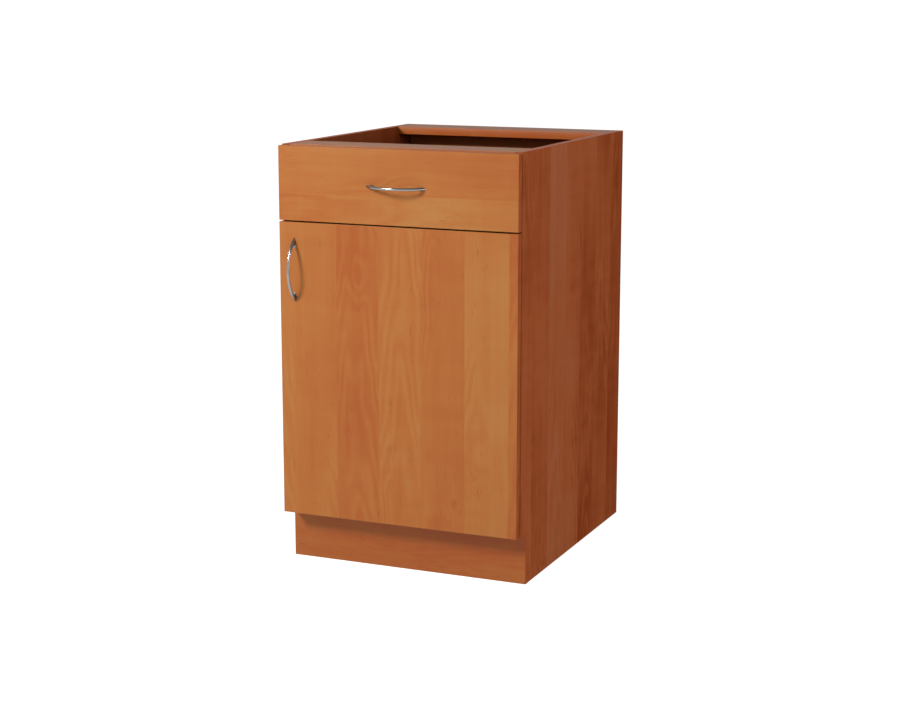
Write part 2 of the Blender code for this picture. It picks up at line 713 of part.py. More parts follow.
def make_hinges(finishes, door):
    for which, level in HINGE_HEIGHTS.items():
        make_hinge_cup(f"{which}_hinge_cup", level, finishes, door)
        make_hinge_arm(f"{which}_hinge_arm", level, finishes)
        make_mounting_plate(f"{which}_mounting_plate", level, finishes)
        pin = bmesh.new()
        add_rod(pin, (PIVOT_X, PIVOT_Y, level - 0.006), (PIVOT_X, PIVOT_Y, level + 0.006), PIN_RADIUS)
        finish_mesh(f"{which}_hinge_pin", pin, finishes["zinc"], (PIVOT_X, PIVOT_Y, level), door, True)
        for number, rise in enumerate((-CUP_SCREW_SPREAD, CUP_SCREW_SPREAD), 1):
            make_screw(f"{which}_cup_screw_{number}",
                       (CUP_SCREW_X, FRONT_BACK_Y + 0.0008 + 2 * FIT, level + rise), (0, -1, 0), 0.0120,
                       finishes, door, 0.0012)
        for number, (y, z) in enumerate(plate_screw_points(level), 1):
            make_screw(f"{which}_plate_screw_{number}", (SIDE_INNER_X - 0.0020 - 2 * FIT, y, z), (1, 0, 0),
                       0.0140, finishes)
        make_screw(f"{which}_arm_screw", (ARM_X - 0.0024 - FIT, arm_screw_y(), level), (1, 0, 0), 0.0062,
                   finishes)


# ---------------------------------------------------------------- the whole cabinet
def main():
    clear_scene()
    finishes = make_finishes()
    drawer = pivot_empty("drawer_slide", (0, FRONT_BACK_Y, DRAWER_FLOOR))
    door = pivot_empty("door_swing", (PIVOT_X, PIVOT_Y, DOOR_BASE))

    make_side_panel("left_side_panel", -1, finishes)
    make_side_panel("right_side_panel", 1, finishes)
    make_carcass_boards(finishes)
    make_plinth(finishes)
    make_shelf(finishes)

    at = runner_heights()
    for which, side in (("left", -1), ("right", 1)):
        make_cabinet_runner(f"{which}_cabinet_runner", side, finishes)
        make_roller(f"{which}_cabinet_roller", side, CABINET_ROLLER_Y, at["cabinet_axle"], finishes)
        make_drawer_runner(f"{which}_drawer_runner", side, finishes, drawer)
        make_roller(f"{which}_drawer_roller", side, DRAWER_ROLLER_Y, at["drawer_axle"], finishes, drawer)

    make_drawer(finishes, drawer)
    make_door(finishes, door)
    make_hinges(finishes, door)


main()
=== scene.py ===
# %% [markdown]
# # A ward base cabinet in alder woodgrain
#
# The cabinet is made of laminated chipboard: one drawer above one door, thin chrome bow
# handles, a recessed plinth, and no worktop, so two flat rails close its top. This lesson
# starts from the engineered model, which gives every board and fitting its place, and puts
# finer surfaces and real finishes on it. Units are metres, +Z is up and the front faces -Y.

import json
import math

import bpy
import numpy as np
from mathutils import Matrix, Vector


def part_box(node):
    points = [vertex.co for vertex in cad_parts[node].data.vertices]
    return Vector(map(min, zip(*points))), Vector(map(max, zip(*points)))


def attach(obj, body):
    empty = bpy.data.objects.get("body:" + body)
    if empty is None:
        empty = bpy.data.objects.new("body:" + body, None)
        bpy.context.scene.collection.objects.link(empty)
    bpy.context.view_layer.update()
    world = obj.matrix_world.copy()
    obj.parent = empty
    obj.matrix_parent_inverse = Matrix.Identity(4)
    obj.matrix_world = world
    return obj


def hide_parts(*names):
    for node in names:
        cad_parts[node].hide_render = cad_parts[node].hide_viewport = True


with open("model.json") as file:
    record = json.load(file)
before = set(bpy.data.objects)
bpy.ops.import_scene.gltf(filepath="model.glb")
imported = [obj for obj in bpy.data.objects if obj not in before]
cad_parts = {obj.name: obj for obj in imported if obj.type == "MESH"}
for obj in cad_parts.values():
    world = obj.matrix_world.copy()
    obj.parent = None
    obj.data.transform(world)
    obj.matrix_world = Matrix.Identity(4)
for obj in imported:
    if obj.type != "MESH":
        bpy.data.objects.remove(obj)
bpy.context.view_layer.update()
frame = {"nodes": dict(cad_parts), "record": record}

# %% [markdown]
# ## One kind of surface for everything
#
# A board, a screw, a handle and a runner look different, but each is a stack of closed
# loops: a board is its outline drawn again and again while it goes over an edge, a screw is
# a circle that changes its radius. So one function takes a grid of points, joins each loop
# to the next with quads and closes both ends. The points are worked out as whole arrays.

# %% A skin over a stack of loops
SMOOTH_ANGLE = math.radians(40)


def new_piece(name, points, faces, finishes, numbers):
    """A mesh and its object at the origin; `numbers` gives the finish of each face."""
    mesh = bpy.data.meshes.new(name)
    mesh.from_pydata(points.tolist(), [], faces)
    mesh.polygons.foreach_set("material_index", numbers)
    for finish in finishes:
        mesh.materials.append(finish)
    mesh.shade_smooth()
    mesh.set_sharp_from_angle(angle=SMOOTH_ANGLE)
    piece = bpy.data.objects.new(name, mesh)
    bpy.context.scene.collection.objects.link(piece)
    return piece


def skin(name, grid, finishes, loop_finish=None, ring=False):
    """Joins grid[row, step] to its neighbours, closed along each row and capped at both ends.

    With `ring` the last row meets the first, and nothing is capped. loop_finish gives the
    finish number of each quad. If the signed volume, the sum of each face's corner
    products, is negative, all the faces are turned.
    """
    rows, steps, _ = grid.shape
    bands = rows if ring else rows - 1
    row, step = np.meshgrid(np.arange(bands), np.arange(steps), indexing="ij")
    above, after = (row + 1) % rows, (step + 1) % steps
    quads = np.stack([row * steps + step, row * steps + after,
                      above * steps + after, above * steps + step], axis=-1).reshape(-1, 4)
    points = grid.reshape(-1, 3)
    a, b, c, d = (points[quads[:, k]] for k in range(4))
    volume = np.einsum("ij,ij->", a, np.cross(b, c)) + np.einsum("ij,ij->", a, np.cross(c, d))
    caps = [] if ring else [np.arange(steps)[::-1], np.arange(steps) + (rows - 1) * steps]
    for cap in caps:
        fan = points[cap]
        first = np.broadcast_to(fan[0], fan[1:].shape)
        volume += np.einsum("ij,ij->", np.cross(fan[:-1], fan[1:]), first)
    faces = [*quads.tolist(), *(cap.tolist() for cap in caps)]
    if volume < 0:
        faces = [face[::-1] for face in faces]
    numbers = np.zeros(len(faces), dtype=np.int32)
    if loop_finish is not None:
        numbers[:len(quads)] = loop_finish.reshape(-1)
    return new_piece(name, points, faces, finishes, numbers)


# %% [markdown]
# ## Shader maths as Python
#
# A woodgrain is arithmetic on a position: stretch it, wobble it, count the staves. Written
# as nodes by hand that becomes a tangle, so a small class wraps a socket and lets Python's
# own operators add the Math nodes. Every other node comes from one method.

# %% Values and finishes
class Value:
    """A number that flows through a material; arithmetic on it adds Math nodes."""

    def __init__(self, finish, socket):
        self.finish = finish
        self.socket = socket

    def math(self, operation, *others):
        return self.finish.node("ShaderNodeMath", {"operation": operation},
                                dict(enumerate((self, *others))))

    def __add__(self, other):
        return self.math("ADD", other)

    def __sub__(self, other):
        return self.math("SUBTRACT", other)

    def __rsub__(self, other):
        return self.finish.node("ShaderNodeMath", {"operation": "SUBTRACT"}, {0: other, 1: self})

    def __mul__(self, other):
        return self.math("MULTIPLY", other)

    def __truediv__(self, other):
        return self.math("DIVIDE", other)

    __radd__ = __add__
    __rmul__ = __mul__

    def step(self, low, high):
        """0 below low, 1 above high, and a smooth rise between them."""
        return self.finish.node("ShaderNodeMapRange", {"interpolation_type": "SMOOTHSTEP"},
                                {"Value": self, "From Min": low, "From Max": high})


class Finish:
    """A material under construction, with one Principled shader to feed."""

    def __init__(self, name, **constants):
        self.material = bpy.data.materials.new(name)
        self.material.use_nodes = True
        self.tree = self.material.node_tree
        self.shader = self.tree.nodes["Principled BSDF"]
        for socket, value in constants.items():
            self.shader.inputs[socket.replace("_", " ")].default_value = value

    def node(self, kind, settings=None, inputs=None, output=0):
        """Adds a node: its settings first, then a number, a colour or a link for each socket."""
        made = self.tree.nodes.new(kind)
        for setting, value in (settings or {}).items():
            if setting == "stops":
                self.fill_ramp(made.color_ramp, value)
            else:
                setattr(made, setting, value)
        by_id = {socket.identifier: socket for socket in made.inputs}
        for key, value in (inputs or {}).items():
            socket = by_id.get(key) or made.inputs[key]
            if isinstance(value, Value):
                self.tree.links.new(value.socket, socket)
            else:
                socket.default_value = value
        outputs = {socket.identifier: socket for socket in made.outputs}
        return Value(self, outputs.get(output) or made.outputs[output])

    @staticmethod
    def fill_ramp(ramp, stops):
        """Gives a colour ramp its stops: pairs of place and colour."""
        while len(ramp.elements) < len(stops):
            ramp.elements.new(1.0)
        for element, (place, colour) in zip(ramp.elements, stops):
            element.position = place
            element.color = colour if len(colour) == 4 else (*colour, 1.0)

    def place(self):
        """The position on the piece, in metres, as three values."""
        where = self.node("ShaderNodeTexCoord", output="Object")
        return where, [self.node("ShaderNodeSeparateXYZ", inputs={0: where}, output=axis) for axis in "XYZ"]

    def noise(self, where, scale, shift=(0.0, 0.0, 0.0), detail=2.0, roughness=0.5, distortion=0.0):
        """Smooth noise about 0.5 on a position stretched by a factor for each axis."""
        moved = self.node("ShaderNodeMapping", inputs={"Vector": where, "Location": shift, "Scale": scale})
        return self.node("ShaderNodeTexNoise", inputs={"Vector": moved, "Scale": 1.0, "Detail": detail,
                                                       "Roughness": roughness, "Distortion": distortion})

    def mix(self, factor, first, second):
        """A colour between two colours."""
        return self.node("ShaderNodeMix", {"data_type": "RGBA"},
                         {"Factor_Float": factor, "A_Color": first, "B_Color": second}, "Result_Color")

    def bump(self, height, distance, strength=1.0):
        """Tilts the surface's normal as if it rose by height times distance."""
        normal = self.node("ShaderNodeBump", inputs={"Height": height, "Distance": distance,
                                                     "Strength": strength})
        self.feed("Normal", normal)

    def feed(self, socket, value):
        self.tree.links.new(value.socket, self.shader.inputs[socket])


# %% [markdown]
# ## The laminate
#
# The decor is a print of alder staves about 90 mm wide, under a satin melamine skin. What
# the eye reads is soft: each stave has its own tone, growth arcs run up inside it, fine
# veins follow the grain and short dark flecks lie along it. The board's position drives all
# of it, stretched along the grain, so a pattern never slides when a door turns. There is
# one finish for each grain direction and place, because a drawer front is cut with its
# grain lying down and a door with its grain standing up.

# %% Stave tones
STAVE_WIDTH = 0.0896
DOOR_TONES = (0.60, 0.50, 0.36, 0.58, 0.40, 0.64, 0.30)
# The side's last two staves, at its back, are the darkest: partly the staves' own tones, partly painted shade
# towards the back.
SIDE_TONES_AND_SHADE = (0.50, 0.40, 0.70, 0.56, 0.40, 0.26, 0.18)
STAVE_JOINT = 0.03


def stave_stops(tones):
    """Two ramp stops for each stave, so that its tone is flat and its joints are narrow."""
    count = len(tones)
    stops = []
    for number, tone in enumerate(tones):
        start = (number + STAVE_JOINT / 2) / count
        end = (number + 1 - STAVE_JOINT / 2) / count
        stops += [(start, (tone, tone, tone)), (end, (tone, tone, tone))]
    return stops


# %% [markdown]
# Each stave is a strip of another tree, so nothing may run on across a joint. The stave's
# number therefore slides the whole pattern along the grain, and picks its own slow drift
# from pale to red. Now and then a bud has left a mark: the growth arcs bend round it.

# %% The laminate's recipe
LAMINATE_DEEP = np.array((0.236, 0.0560, 0.0080, 1.0))
LAMINATE_MIDDLE = np.array((0.262, 0.0820, 0.0145, 1.0))
LAMINATE_PALE = np.array((0.274, 0.1100, 0.0255, 1.0))
FLECK_COLOUR = np.array((0.120, 0.0320, 0.0060, 1.0))
SATIN = 0.20
STAVE_SLIDE = 0.613
STAVE_SHUFFLE = 7.31
STAVE_WANDER = 0.04

# Each layer of the grain: its scale across the grain and along it, its noise detail and
# roughness, and its weight in the tone.
GRAIN_LAYERS = {
    "cloud": (13.0, 3.4, 3.0, 0.5, 0.80),
    "streak": (85.0, 2.2, 3.0, 0.58, 0.52),
    "vein": (560.0, 9.0, 2.0, 0.5, 0.14),
    "shimmer": (11.0, 38.0, 1.0, 0.5, 0.28),
}
DRIFT_WEIGHT = 0.95
ARC_WEIGHT = 0.13
BUD_WEIGHT = 0.45
BUD_REACH = 0.30
BUD_CORE = 0.07
FLECK_STRENGTH = 0.42
PORE_STRENGTH = 0.10
GRAIN_RELIEF = 0.00006


def stretched(along, across, run):
    """A scale for each axis: `run` per metre along the grain and `across` in the other two."""
    return tuple(run if axis == along else across for axis in "XYZ")


def laminate(name, along, across, stave_edge, shift, sheen=SATIN, tint_light_and_shade=(1.0, 1.0, 1.0),
             tones=DOOR_TONES, deepening=1.0):
    """Woodgrain along one axis, with its staves counted across another from `stave_edge`.

    sheen is the melamine skin's specular level, the colour factor after it multiplies the
    print's colours, a tint that for the sides and the plinth also holds painted shade and for
    the top edges painted light, and deepening multiplies its darkest one again. The tone is a
    sum: the stave's own tone, its drift, the layers of grain and the growth arcs, less the
    core of each bud. The arcs are the sine of a parabola across the stave plus the way along
    it.
    """
    print_colours = (LAMINATE_DEEP, LAMINATE_MIDDLE, LAMINATE_PALE, FLECK_COLOUR)
    deep, middle, pale, fleck_colour = (tuple(colour * (*tint_light_and_shade, 1.0)) for colour in print_colours)
    deep = (*(deepening * part for part in deep[:3]), 1.0)
    finish = Finish(name, Roughness=0.42, Specular_IOR_Level=sheen)
    whole, (x, y, z) = finish.place()
    axes = {"X": x, "Y": y, "Z": z}
    run = axes[along]
    wander = finish.noise(whole, stretched(along, 2.0, 1.3), shift, 1.0)
    wide = (axes[across] - stave_edge) / STAVE_WIDTH + (wander - 0.5) * STAVE_WANDER
    stave = wide.math("FLOOR")
    ramp = finish.node("ShaderNodeValToRGB", {"stops": stave_stops(tones)},
                       {"Fac": (wide / len(tones)).math("FRACT")})
    stave_tone = finish.node("ShaderNodeSeparateColor", inputs={0: ramp}, output="Red")
    slide = finish.node("ShaderNodeCombineXYZ", inputs={along: stave * STAVE_SLIDE})
    where = finish.node("ShaderNodeVectorMath", {"operation": "ADD"}, {0: whole, 1: slide})
    own = finish.node("ShaderNodeCombineXYZ",
                      inputs={"X": stave * STAVE_SHUFFLE, "Y": run * 2.6, "Z": shift[0]})
    drift = finish.node("ShaderNodeTexNoise", inputs={"Vector": own, "Scale": 1.0, "Detail": 1.0})

    bud_place = finish.node("ShaderNodeMapping", inputs={"Vector": where, "Location": shift,
                                                         "Scale": stretched(along, 9.0, 4.2)})
    bud = finish.node("ShaderNodeTexVoronoi", inputs={"Vector": bud_place, "Scale": 1.0}, output="Distance")
    around_bud = 1.0 - bud.step(0.0, BUD_REACH)
    inside = wide.math("FRACT") - 0.5
    warp = finish.noise(where, stretched(along, 16.0, 3.5), shift, 2.0)
    rings = (inside * inside * 6.0 + run * 8.0 + warp * 4.5 + around_bud * 1.6) * math.tau
    patch = finish.noise(where, stretched(along, 7.0, 2.6), (shift[1], shift[2], shift[0]), 1.0)
    arcs = rings.math("SINE") * (patch.step(0.46, 0.62) + around_bud * 0.1)

    tone = (stave_tone + (drift - 0.5) * DRIFT_WEIGHT + arcs * ARC_WEIGHT
            - (1.0 - bud.step(0.0, BUD_CORE)) * BUD_WEIGHT)
    layers = {}
    for layer, (across_scale, along_scale, detail, roughness, weight) in GRAIN_LAYERS.items():
        scale = stretched(along, across_scale, along_scale)
        layers[layer] = finish.noise(where, scale, shift, detail, roughness)
        tone = tone + (layers[layer] - 0.5) * weight
    colour = finish.node("ShaderNodeValToRGB", {"stops": [(0.0, deep), (0.5, middle), (1.0, pale)]},
                         {"Fac": tone})

    pore = finish.noise(where, stretched(along, 1500.0, 90.0), shift, 1.0).step(0.56, 0.70)
    fleck = finish.noise(where, stretched(along, 480.0, 44.0), shift, 1.0)
    fleck_patch = finish.noise(where, stretched(along, 26.0, 7.0), (shift[2], shift[0], shift[1]), 1.0)
    flecks = fleck.step(0.645, 0.72) * fleck_patch.step(0.48, 0.66) * FLECK_STRENGTH
    finish.feed("Base Color", finish.mix(flecks + pore * PORE_STRENGTH, colour, fleck_colour))
    finish.feed("Roughness", 0.40 + (layers["streak"] - 0.5) * 0.12 + flecks * 0.25)
    finish.bump(layers["vein"] * 0.6 - flecks * 1.5, GRAIN_RELIEF, 0.5)
    return finish.material


# %% [markdown]
# Raw chipboard shows where an edge has no band: the backs of the boards, the edges that
# stand on the floor and the walls of the bores. It is coarse flakes in a paler glue. The
# thin back and the drawer bottom are fibreboard, which has no flakes, only a fine felt.

# %% Chipboard and fibreboard
FLAKES_PER_METRE = 430.0


def chipboard():
    """Cells of about 2 mm, each with its own tone, with darker gaps between them."""
    finish = Finish("chipboard", Roughness=0.85, Specular_IOR_Level=0.2)
    where, _ = finish.place()
    bend = finish.noise(where, (300.0, 300.0, 300.0), detail=2.0)
    moved = finish.node("ShaderNodeVectorMath", {"operation": "MULTIPLY_ADD"},
                        {0: where, 1: (FLAKES_PER_METRE,) * 3, 2: bend})
    flake = finish.node("ShaderNodeTexVoronoi", inputs={"Vector": moved, "Scale": 1.0}, output="Color")
    flake_tone = finish.node("ShaderNodeSeparateColor", inputs={0: flake}, output="Red")
    gap = finish.node("ShaderNodeTexVoronoi", {"feature": "DISTANCE_TO_EDGE"},
                      {"Vector": moved, "Scale": 1.0}, "Distance")
    stops = [(0.0, (0.26, 0.145, 0.065)), (0.55, (0.46, 0.29, 0.145)), (1.0, (0.60, 0.43, 0.25))]
    colour = finish.node("ShaderNodeValToRGB", {"stops": stops}, {"Fac": flake_tone})
    dark = 1.0 - gap.step(0.0, 0.09)
    finish.feed("Base Color", finish.mix(dark * 0.6, colour, (0.11, 0.055, 0.025, 1.0)))
    finish.feed("Roughness", 0.78 + flake_tone * 0.15)
    finish.bump(flake_tone * 0.5 - dark, 0.00025)
    return finish.material


def fibreboard():
    """A fine felt: two sizes of noise on one brown."""
    finish = Finish("fibreboard", Roughness=0.62, Specular_IOR_Level=0.1)
    where, _ = finish.place()
    felt = finish.noise(where, (900.0, 900.0, 900.0), detail=3.0)
    cloud = finish.noise(where, (14.0, 14.0, 14.0), detail=3.0)
    tone = (felt - 0.5) * 0.9 + (cloud - 0.5) * 0.6 + 0.5
    stops = [(0.0, (0.240, 0.062, 0.015)), (1.0, (0.350, 0.108, 0.026))]
    colour = finish.node("ShaderNodeValToRGB", {"stops": stops}, {"Fac": tone})
    finish.feed("Base Color", colour)
    finish.feed("Roughness", 0.55 + felt * 0.15)
    finish.bump(felt, 0.00005, 0.6)
    return finish.material


# %% [markdown]
# The fittings are metal and plastic. The bow handles are polished chrome, which is mostly
# its reflections, so its node work is a faint haze in the roughness. Hinges and screws are
# zinc plated: colder, softer, with a blotchy passivated film. The runners are powder
# coated, and the rollers are moulded nylon.

# %% Metals and plastics
def chrome():
    """A faint haze on a mirror: two sizes of noise in its roughness."""
    finish = Finish("chrome", Metallic=1.0)
    where, _ = finish.place()
    haze = finish.noise(where, (140.0, 140.0, 140.0), detail=3.0)
    scratch = finish.noise(where, (2400.0, 300.0, 2400.0), detail=1.0)
    # Both greys are far darker than polished chrome: a painted dark reflection, which the bright studio does not
    # give.
    colour = finish.mix(haze, (0.24, 0.235, 0.23, 1.0), (0.31, 0.305, 0.30, 1.0))
    finish.feed("Base Color", colour)
    finish.feed("Roughness", 0.15 + haze * 0.08 + scratch * 0.04)
    finish.bump(scratch, 0.000004, 0.4)
    return finish.material


def zinc():
    """Blotches that run from blue grey to a faint yellow, over a fine grain."""
    finish = Finish("zinc", Metallic=1.0)
    where, _ = finish.place()
    blotch = finish.noise(where, (260.0, 260.0, 260.0), detail=3.0, distortion=0.8)
    grain = finish.noise(where, (1800.0, 1800.0, 1800.0), detail=2.0)
    stops = [(0.25, (0.46, 0.48, 0.52)), (0.55, (0.60, 0.61, 0.62)), (0.8, (0.64, 0.62, 0.55))]
    colour = finish.node("ShaderNodeValToRGB", {"stops": stops}, {"Fac": blotch})
    finish.feed("Base Color", colour)
    finish.feed("Roughness", 0.24 + blotch * 0.14 + grain * 0.06)
    finish.bump(grain, 0.00001, 0.5)
    return finish.material


def powder_coat():
    """Off-white paint with an orange-peel surface, and dust drawn out along the runner."""
    finish = Finish("runner_coat", Specular_IOR_Level=0.45)
    where, _ = finish.place()
    peel = finish.noise(where, (700.0, 700.0, 700.0), detail=2.0)
    dust = finish.noise(where, (45.0, 12.0, 45.0), detail=3.0)
    finish.feed("Base Color", finish.mix(dust, (0.66, 0.645, 0.60, 1.0), (0.78, 0.77, 0.73, 1.0)))
    finish.feed("Roughness", 0.34 + peel * 0.16)
    finish.bump(peel, 0.00003, 0.6)
    return finish.material


def nylon():
    """A milky plastic, cloudy inside and finely worn outside."""
    finish = Finish("nylon", Subsurface_Weight=0.15, Subsurface_Scale=0.002)
    where, _ = finish.place()
    cloud = finish.noise(where, (220.0, 220.0, 220.0), detail=2.0)
    fine = finish.noise(where, (1500.0, 1500.0, 1500.0), detail=1.0)
    finish.feed("Base Color", finish.mix(cloud, (0.70, 0.69, 0.65, 1.0), (0.80, 0.795, 0.77, 1.0)))
    finish.feed("Roughness", 0.40 + fine * 0.14)
    finish.bump(fine, 0.00002, 0.4)
    return finish.material


def clear_bumper():
    """Soft clear plastic, a little cloudy."""
    finish = Finish("clear_bumper", Transmission_Weight=0.55, IOR=1.45)
    where, _ = finish.place()
    cloud = finish.noise(where, (500.0, 500.0, 500.0), detail=2.0)
    finish.feed("Base Color", finish.mix(cloud, (0.72, 0.71, 0.66, 1.0), (0.84, 0.83, 0.80, 1.0)))
    finish.feed("Roughness", 0.16 + cloud * 0.10)
    return finish.material


CHIPBOARD = chipboard()
FIBREBOARD = fibreboard()
CHROME = chrome()
ZINC = zinc()
COAT = powder_coat()
NYLON = nylon()
CLEAR = clear_bumper()
print("finishes:", len(bpy.data.materials))

# %% [markdown]
# One recipe makes them all. The stave edges are set so that a joint falls where it
# does on the real boards: about two fifths of the way up the drawer front, and six times
# across the door, with a narrow red stave at its hinge side. The sides, the plinth and the
# edge bands have colour factors of their own. The sides are darker and redder than the
# fronts, partly their own tint and partly painted shade; the plinth is darker, which is
# painted shade of its recess under the door; the top edges are lighter and redder, which
# is painted light; the front bands are redder.

# %% The laminates of each place
DOOR_LAMINATE = laminate("door_laminate", "Z", "X", -0.3062, (3.1, 7.7, 1.3))
DRAWER_LAMINATE = laminate("drawer_front_laminate", "X", "Z", 0.6560, (8.4, 2.2, 5.9))
# The plinth's colour factor darkens it: painted shade of its recess under the door.
PLINTH_PAINTED_SHADE = (0.88, 0.70, 0.58)
PLINTH_LAMINATE = laminate("plinth_laminate", "X", "Z", -0.3284, (1.9, 4.6, 9.2), SATIN, PLINTH_PAINTED_SHADE)
# The side's colour factor makes it darker and redder than the fronts: partly its own tint, partly painted shade
# of the side that faces away from the key light.
SIDE_TINT_AND_SHADE = (0.94, 0.74, 1.35)
SIDE_LAMINATE = laminate("side_laminate", "Z", "Y", -0.3000, (6.3, 1.1, 2.8), 0.0, SIDE_TINT_AND_SHADE, SIDE_TONES_AND_SHADE,
                         deepening=0.78)
BAND_DYE = (1.12, 0.86, 0.80)
BAND_LAMINATE = laminate("rail_band_laminate", "X", "Z", 0.0300, (4.9, 8.8, 0.6), SATIN, BAND_DYE)
RAIL_LAMINATE = laminate("rail_laminate", "X", "Y", -0.2900, (2.7, 9.5, 4.4), 0.12)
# This colour factor makes the top edges lighter and redder than the fronts: painted light on the top edges.
DEPTH_PAINTED_LIGHT = (1.25, 0.85, 0.75)
DEPTH_LAMINATE = laminate("depth_laminate", "Y", "Z", 0.6300, (5.2, 3.8, 7.1), 0.05, DEPTH_PAINTED_LIGHT)

# %% [markdown]
# ## Boards
#
# A board could be a cube with a Bevel modifier. Here it is a surface of its own: the
# outline goes in along the face, over a small arris, across the edge and back, and each
# corner moves in along its mitre. That gives an exact arris, a flat face that stays flat
# when shaded, and a number on each edge that says if it is banded or raw chipboard. Bores
# and grooves are cut afterwards with tools made the same way.

# %% The board's surface
ARRIS = 0.0006
SUPPORT = 0.0016
AXIS = {"X": 0, "Y": 1, "Z": 2}


def over_the_edge(thickness, arris):
    """Pairs of inset and height: a ring on the face, a quarter round, the edge, and the same back."""
    turn = np.linspace(0, np.pi / 2, 4)
    lower = arris * np.stack([1 - np.sin(turn), 1 - np.cos(turn)], axis=1)
    upper = lower[::-1] * (1, -1) + (0, thickness)
    ring = SUPPORT * arris / ARRIS
    return np.concatenate([[(ring, 0)], lower, upper, [(ring, thickness)]])


def board_grid(outline, normal, base, thickness, arris):
    """Each corner of the outline, moved in along the sum of its two edge normals at each height."""
    flat = [axis for axis in range(3) if axis != AXIS[normal]]
    edge = np.roll(outline, -1, axis=0) - outline
    inward = np.stack([-edge[:, 1], edge[:, 0]], axis=1) / np.linalg.norm(edge, axis=1)[:, None]
    mitre = inward + np.roll(inward, 1, axis=0)
    profile = over_the_edge(thickness, arris)
    grid = np.zeros((len(profile), len(outline), 3))
    grid[:, :, flat] = outline + profile[:, None, :1] * mitre
    grid[:, :, AXIS[normal]] = base + profile[:, 1:]
    return grid


def rectangle(low, high):
    """The four corners, counterclockwise from the low one."""
    return np.array([(low[0], low[1]), (high[0], low[1]), (high[0], high[1]), (low[0], high[1])])


def cylinder_grid(centre, axis, radius, depth, around=64):
    """A circle at two places along an axis, depth apart; depth may be negative."""
    turn = np.linspace(0, 2 * np.pi, around, endpoint=False)
    flat = [k for k in range(3) if k != AXIS[axis]]
    grid = np.tile(np.array(centre, dtype=float), (2, around, 1))
    grid[:, :, flat[0]] += radius * np.cos(turn)
    grid[:, :, flat[1]] += radius * np.sin(turn)
    grid[1, :, AXIS[axis]] += depth
    return grid


def box_grid(low, high):
    """A rectangle at two heights."""
    plan = rectangle(low[:2], high[:2])
    return np.stack([np.column_stack([plan, np.full(4, z)]) for z in (low[2], high[2])])


# %% Making and carving boards
def carve(piece, tools):
    """Cuts closed tool surfaces out of a piece; their walls are raw chipboard."""
    cutters = [skin(f"{piece.name}_tool", grid, [CHIPBOARD]) for grid in tools]
    for cutter in cutters:
        cut = piece.modifiers.new("Cut", "BOOLEAN")
        cut.solver = "EXACT"
        cut.material_mode = "TRANSFER"
        cut.object = cutter
    graph = bpy.context.evaluated_depsgraph_get()
    mesh = bpy.data.meshes.new_from_object(piece.evaluated_get(graph))
    piece.modifiers.clear()
    piece.data = mesh
    mesh.shade_smooth()
    mesh.set_sharp_from_angle(angle=SMOOTH_ANGLE)
    for cutter in cutters:
        bpy.data.objects.remove(cutter)


def body_of(node):
    """The moving body that the record puts a node on."""
    return next(body for body, nodes in frame["record"]["behaviour"]["bodies"].items() if node in nodes)


def board(node, face, normal, edges, outline=None, tools=(), arris=ARRIS):
    """A laminated board in a CAD node's box; `edges` gives the finish of each side of its outline."""
    low, high = (np.array(corner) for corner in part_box(node))
    flat = [axis for axis in range(3) if axis != AXIS[normal]]
    if outline is None:
        outline = rectangle(low[flat], high[flat])
    base, top = low[AXIS[normal]], high[AXIS[normal]]
    grid = board_grid(outline, normal, base, top - base, arris)
    finishes = list(dict.fromkeys([face, *edges]))
    numbers = np.tile([finishes.index(finish) for finish in edges], (len(grid) - 1, 1))
    numbers[[0, -1]] = 0
    piece = skin(f"{node}_board", grid, finishes, numbers)
    if tools:
        carve(piece, tools)
    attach(piece, body_of(node))
    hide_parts(node)
    return piece


# %% [markdown]
# ## The carcass
#
# Two side panels run down to the floor, with a toe notch at the front that the plinth board
# fills over the full width. A groove near the back takes the thin fibreboard. Only the
# edges that are seen from the front and from above are banded.

# %% Side panels
SIDE_LOW, SIDE_HIGH = (np.array(corner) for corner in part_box("right_side_panel"))
PLINTH_LOW, PLINTH_HIGH = (np.array(corner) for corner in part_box("plinth_board"))
BACK_LOW, BACK_HIGH = (np.array(corner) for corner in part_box("back_panel"))
FIT = 0.0003
CAM_RADIUS = 0.0075
CAM_DEPTH = 0.0125
OVERCUT = 0.001


def side_outline():
    """The panel seen from its face, with the toe notch at the front lower corner."""
    notch_y, notch_z = PLINTH_HIGH[1] + FIT, PLINTH_HIGH[2] + FIT
    front, back, top = SIDE_LOW[1], SIDE_HIGH[1], SIDE_HIGH[2]
    return np.array([(notch_y, 0.0), (back, 0.0), (back, top), (front, top),
                     (front, notch_z), (notch_y, notch_z)])


# Sides of that outline, in turn: floor, back, top, front, over the notch, behind the notch.
SIDE_EDGES = [CHIPBOARD, CHIPBOARD, DEPTH_LAMINATE, SIDE_LAMINATE, SIDE_LAMINATE, SIDE_LAMINATE]


def groove(side):
    """The slot for the back panel, open at the panel's top and bottom."""
    inner = SIDE_LOW[0] - OVERCUT
    deep = BACK_HIGH[0] + FIT
    low_x, high_x = sorted((side * inner, side * deep))
    return box_grid((low_x, BACK_LOW[1] - FIT, -OVERCUT),
                    (high_x, BACK_HIGH[1] + FIT, SIDE_HIGH[2] + OVERCUT))


for node, side in (("left_side_panel", -1), ("right_side_panel", 1)):
    board(node, SIDE_LAMINATE, "X", SIDE_EDGES, side_outline(), [groove(side)])

# %% Rails, bottom, shelf and plinth
CAMS = []
CAM_INSET = 0.034


